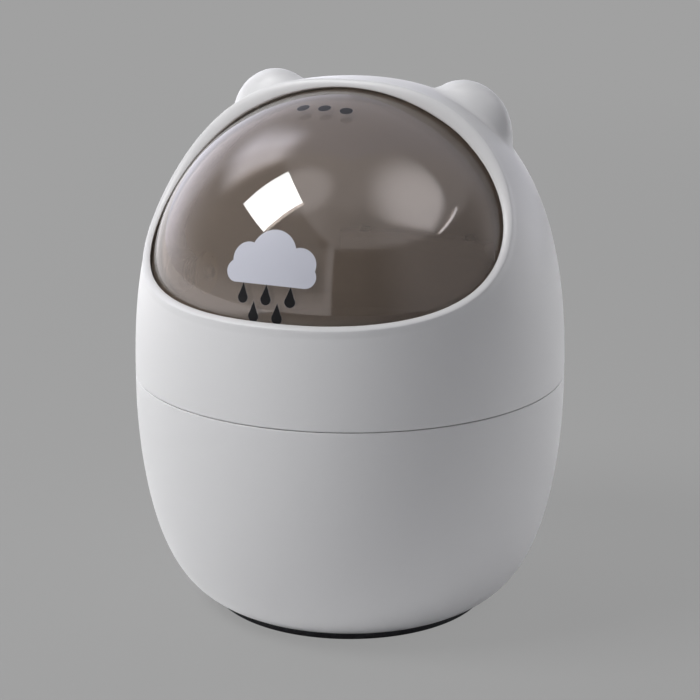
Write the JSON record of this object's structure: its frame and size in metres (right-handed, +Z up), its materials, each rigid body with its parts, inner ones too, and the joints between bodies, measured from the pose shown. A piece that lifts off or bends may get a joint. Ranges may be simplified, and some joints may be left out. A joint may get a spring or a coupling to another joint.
{
  "type": "push top countertop bin",
  "caption": "Egg-shaped countertop bin with a lift-off domed hood, two small round ears, a slanted opening and a sprung smoked visor that rolls back under the hood.",
  "frame": {"origin": "centre of the base pad's underside, on the surface the bin stands on", "axes": "+Z up, front with the opening towards -Y, pivot axis along X"},
  "size_m": [0.165, 0.165, 0.202],
  "materials": {
    "white_shell": "satin moulded",
    "inner_white": "matt moulded",
    "smoked_visor": "polished transparent",
    "dark_pad": "matt foam rubber",
    "natural_nylon": "satin",
    "spring_steel": "drawn wire",
    "screw_steel": "zinc plated",
    "soft_grey": "soft pad"
  },
  "bodies": {
    "bin": {"bucket": "white_shell", "base_pad": "dark_pad"},
    "ring": {"bag_ring": "inner_white"},
    "hood": {"hood": "white_shell", "left_slip_washer": "natural_nylon", "right_slip_washer": "natural_nylon", "left_return_spring": "spring_steel", "right_return_spring": "spring_steel", "left_spring_retainer": "natural_nylon", "right_spring_retainer": "natural_nylon", "left_pivot_screw": "screw_steel", "right_pivot_screw": "screw_steel", "front_bumpers": "soft_grey", "rear_bumpers": "soft_grey"},
    "visor": {"visor": "smoked_visor"}
  },
  "joints": [
    {"name": "hood_lift", "type": "slide", "parent": "bin", "child": "hood", "axis": [0, 0, 1], "range_m": [0, 0.06]},
    {"name": "ring_lift", "type": "slide", "parent": "bin", "child": "ring", "axis": [0, 0, 1], "range_m": [0, 0.03]},
    {"name": "visor_roll", "type": "hinge", "parent": "hood", "child": "visor", "pos_m": [0, 0, 0.122], "axis": [-1, 0, 0], "range_deg": [0, 70], "stiffness_Nm_per_rad": 0.02, "springref_deg": -28.65, "deforming": ["left_return_spring", "right_return_spring"]}
  ],
  "couplings": [
    {"joint": "ring_lift", "follows": "hood_lift", "ratio": 0.5}
  ]
}
